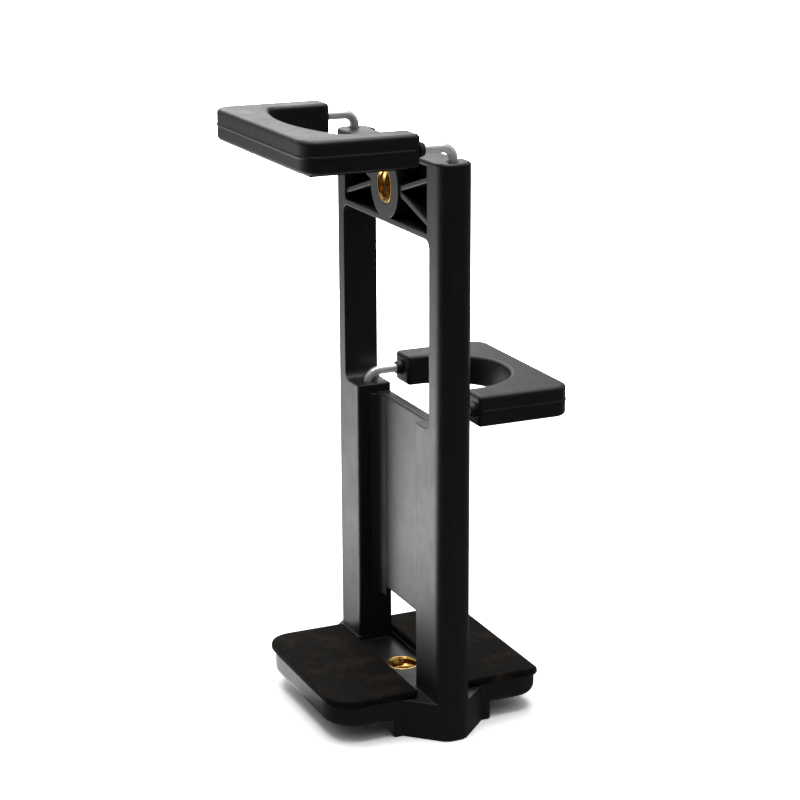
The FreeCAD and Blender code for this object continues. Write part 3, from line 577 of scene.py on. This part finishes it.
# %% Floor
FLOOR_SIZE = 12.0
PAPER_GAIN = 1.5
FAR_GAIN = 12.0
GAIN_NEAR = 200 * MM
GAIN_FAR = 1500 * MM
PATCH_BEARING = Vector((-0.67, -0.74, 0.0))
PATCH_LEVEL = 3.6
PATCH_EDGE = 0.80
PATCH_CORE = 0.97
PATCH_NEAR = 230 * MM
PATCH_FAR = 480 * MM
FAR_SHARE = 0.12
LEFT_LEVEL = 0.8
LEFT_START = 20 * MM
LEFT_FULL = -120 * MM
CLOSE_DARK = 55 * MM
CLOSE_LIT = 120 * MM
CLOSE_SHARE = 0.6
SHADE_NEAR = 100 * MM
SHADE_FAR = 450 * MM
SHADE_START = 0.10
SHADE_END = 0.03
FIBRE = 2 * MM

bpy.ops.mesh.primitive_grid_add(x_subdivisions=8, y_subdivisions=8, size=FLOOR_SIZE)
floor = bpy.context.object
floor.name = "paper_floor"
paper = bpy.data.materials.new("matt_white_paper")
paper.use_nodes = True
paper_tree = paper.node_tree
paper_tree.nodes.clear()
paper_place = add_node(paper_tree, "ShaderNodeTexCoord").outputs["Object"]
paper_rays = add_node(paper_tree, "ShaderNodeLightPath")
fibre = add_node(paper_tree, "ShaderNodeTexNoise", None,
                 {"Vector": paper_place, "Scale": 1 / FIBRE, "Detail": 2.0})
paper_tint = add_node(paper_tree, "ShaderNodeMix", {"data_type": "RGBA"},
                      {"Factor": fibre.outputs["Fac"], "A": colour("f7f7f7"), "B": colour("ffffff")})
apart = add_node(paper_tree, "ShaderNodeVectorMath", {"operation": "LENGTH"}, {0: paper_place})
seen_gain = add_node(paper_tree, "ShaderNodeMapRange", None,
                     {"Value": apart.outputs["Value"], "From Min": GAIN_NEAR, "From Max": GAIN_FAR,
                      "To Min": PAPER_GAIN, "To Max": FAR_GAIN})
gain = add_node(paper_tree, "ShaderNodeMapRange", None,
                {"Value": paper_rays.outputs["Is Camera Ray"], "To Min": 1.0,
                 "To Max": seen_gain.outputs["Result"]})
seen_tint = add_node(paper_tree, "ShaderNodeVectorMath", {"operation": "SCALE"},
                     {0: paper_tint.outputs["Result"], "Scale": gain.outputs["Result"]})
sheet = add_node(paper_tree, "ShaderNodeBsdfDiffuse", None, {"Color": seen_tint.outputs["Vector"]})

heading = add_node(paper_tree, "ShaderNodeVectorMath", {"operation": "NORMALIZE"}, {0: paper_place})
facing = add_node(paper_tree, "ShaderNodeVectorMath", {"operation": "DOT_PRODUCT"},
                  {0: heading.outputs["Vector"], 1: PATCH_BEARING})
beam = add_node(paper_tree, "ShaderNodeMapRange", {"interpolation_type": "SMOOTHSTEP"},
                {"Value": facing.outputs["Value"], "From Min": PATCH_EDGE, "From Max": PATCH_CORE,
                 "To Min": 0.0, "To Max": PATCH_LEVEL})
sides = add_node(paper_tree, "ShaderNodeSeparateXYZ", None, {"Vector": paper_place})
left = add_node(paper_tree, "ShaderNodeMapRange", {"interpolation_type": "SMOOTHSTEP"},
                {"Value": sides.outputs["X"], "From Min": LEFT_START, "From Max": LEFT_FULL,
                 "To Min": 0.0, "To Max": LEFT_LEVEL})
both = add_node(paper_tree, "ShaderNodeMath", {"operation": "ADD"},
                {0: beam.outputs["Result"], 1: left.outputs["Result"]})
fade = add_node(paper_tree, "ShaderNodeMapRange", {"interpolation_type": "SMOOTHSTEP"},
                {"Value": apart.outputs["Value"], "From Min": PATCH_NEAR, "From Max": PATCH_FAR,
                 "To Min": 1.0, "To Max": FAR_SHARE})
close = add_node(paper_tree, "ShaderNodeMapRange", {"interpolation_type": "SMOOTHSTEP"},
                 {"Value": apart.outputs["Value"], "From Min": CLOSE_DARK, "From Max": CLOSE_LIT,
                  "To Min": CLOSE_SHARE, "To Max": 1.0})
span = add_node(paper_tree, "ShaderNodeMath", {"operation": "MULTIPLY"},
                {0: close.outputs["Result"], 1: fade.outputs["Result"]})
lit = add_node(paper_tree, "ShaderNodeMath", {"operation": "MULTIPLY"},
               {0: both.outputs[0], 1: span.outputs[0]})
shade = add_node(paper_tree, "ShaderNodeMapRange", None,
                 {"Value": apart.outputs["Value"], "From Min": SHADE_NEAR, "From Max": SHADE_FAR,
                  "To Min": SHADE_START, "To Max": SHADE_END})
level = add_node(paper_tree, "ShaderNodeMath", {"operation": "ADD"},
                 {0: lit.outputs[0], 1: shade.outputs["Result"]})
reflected = add_node(paper_tree, "ShaderNodeEmission", None,
                     {"Color": colour("ffffff"), "Strength": level.outputs[0]})
in_gloss = add_node(paper_tree, "ShaderNodeMixShader", None,
                    {"Fac": paper_rays.outputs["Is Glossy Ray"], 1: sheet.outputs[0],
                     2: reflected.outputs[0]})
add_node(paper_tree, "ShaderNodeOutputMaterial", None, {"Surface": in_gloss.outputs[0]})
floor.data.materials.append(paper)
print("floor size m:", round(floor.dimensions.x, 1))

# %% [markdown]
# The room is lit from the left and from above, and is dim on the side of the camera. A world
# whose level follows one direction does that with no lamp in sight: the product of each ray with
# a vector towards the bright side is turned into a level, and a little is added for the ceiling.
# The camera sees plain white instead, and so does glass.
# Most light on the paper comes from the box overhead, so the shadow stays close under the wings.

# %% World and lamps
BRIGHT_SIDE = Vector((-0.65, 0.45, 0.60)).normalized()
DIM_END = -0.5
DIM_LEVEL = 0.03
BRIGHT_END = 0.75
BRIGHT_LEVEL = 0.45
CEILING_EDGE = 0.42
CEILING_FULL = 0.80
CEILING_LEVEL = 0.3

world = bpy.data.worlds.new("studio_room")
bpy.context.scene.world = world
world.use_nodes = True
sky = world.node_tree
sky.nodes.clear()
rays = add_node(sky, "ShaderNodeLightPath")
direction = add_node(sky, "ShaderNodeTexCoord").outputs["Generated"]
towards = add_node(sky, "ShaderNodeVectorMath", {"operation": "DOT_PRODUCT"},
                   {0: direction, 1: BRIGHT_SIDE})
level = add_node(sky, "ShaderNodeMapRange", {"interpolation_type": "SMOOTHSTEP"},
                 {"Value": towards.outputs["Value"], "From Min": DIM_END, "From Max": BRIGHT_END,
                  "To Min": DIM_LEVEL, "To Max": BRIGHT_LEVEL})
height = add_node(sky, "ShaderNodeSeparateXYZ", None, {"Vector": direction})
ceiling = add_node(sky, "ShaderNodeMapRange", {"interpolation_type": "SMOOTHSTEP"},
                   {"Value": height.outputs["Z"], "From Min": CEILING_EDGE, "From Max": CEILING_FULL,
                    "To Min": 0.0, "To Max": CEILING_LEVEL})
total = add_node(sky, "ShaderNodeMath", {"operation": "ADD"},
                 {0: level.outputs["Result"], 1: ceiling.outputs["Result"]})
room = add_node(sky, "ShaderNodeBackground", None,
                {"Color": colour("ffffff"), "Strength": total.outputs[0]})
white = add_node(sky, "ShaderNodeBackground", None, {"Color": colour("ffffff"), "Strength": 1.0})
seen = add_node(sky, "ShaderNodeMath", {"operation": "MAXIMUM"},
                {0: rays.outputs["Is Camera Ray"], 1: rays.outputs["Is Transmission Ray"]})
either = add_node(sky, "ShaderNodeMixShader", None,
                  {"Fac": seen.outputs[0], 1: room.outputs[0], 2: white.outputs[0]})
add_node(sky, "ShaderNodeOutputWorld", None, {"Surface": either.outputs[0]})


def soft_box(name, place, aim, width, height, watts):
    """Rectangular area lamp at place that looks at aim, in metres and watts."""
    data = bpy.data.lights.new(name, "AREA")
    data.shape = "RECTANGLE"
    data.size = width
    data.size_y = height
    data.energy = watts
    lamp = bpy.data.objects.new(name, data)
    lamp.location = place
    lamp.rotation_euler = (Vector(aim) - Vector(place)).to_track_quat("-Z", "Y").to_euler()
    bpy.context.scene.collection.objects.link(lamp)
    return lamp


soft_box("overhead_box", (-0.05, 0.0, 0.9), (0, 0, 0.05), 0.7, 0.7, 7.5)
soft_box("back_box", (-0.42, 0.08, 0.31), (0, 0, 0.13), 0.26, 0.24, 0.5)
print("lamps:", sorted(lamp.name for lamp in bpy.data.lights))

# %% [markdown]
# The camera stands where the photograph was taken from: about 47 cm away, to the side of one
# post and 16 degrees up, with a lens of about 94 mm on a 36 mm wide frame.

# %% Camera
AZIMUTH = math.radians(65.711)
ELEVATION = math.radians(16.289)
ROLL = math.radians(-0.225)
FOCAL_PIXELS = 2083.4
FRAME_PIXELS = 800
CENTRE_PIXEL = (400.24, 403.38)
EYE = Vector((412.1, -186.4, 203.1)) * MM
SENSOR_WIDTH = 36.0

back = Vector((math.sin(AZIMUTH) * math.cos(ELEVATION), -math.cos(AZIMUTH) * math.cos(ELEVATION),
               math.sin(ELEVATION)))
level_right = Vector((math.cos(AZIMUTH), math.sin(AZIMUTH), 0))
level_up = back.cross(level_right)
right = level_right * math.cos(ROLL) + level_up * math.sin(ROLL)
up = level_up * math.cos(ROLL) - level_right * math.sin(ROLL)
view = bpy.data.cameras.new("photo_view")
view.sensor_width = SENSOR_WIDTH
view.lens = FOCAL_PIXELS / FRAME_PIXELS * view.sensor_width
view.shift_x = (FRAME_PIXELS / 2 - CENTRE_PIXEL[0]) / FRAME_PIXELS
view.shift_y = (CENTRE_PIXEL[1] - FRAME_PIXELS / 2) / FRAME_PIXELS
view.clip_start = 0.01
view.clip_end = 50
camera = bpy.data.objects.new("photo_view", view)
camera.matrix_world = Matrix((
    (right.x, up.x, back.x, EYE.x),
    (right.y, up.y, back.y, EYE.y),
    (right.z, up.z, back.z, EYE.z),
    (0, 0, 0, 1)))
bpy.context.scene.collection.objects.link(camera)
bpy.context.scene.camera = camera
bpy.context.scene.view_settings.view_transform = "Standard"
print("lens mm:", round(view.lens, 2))
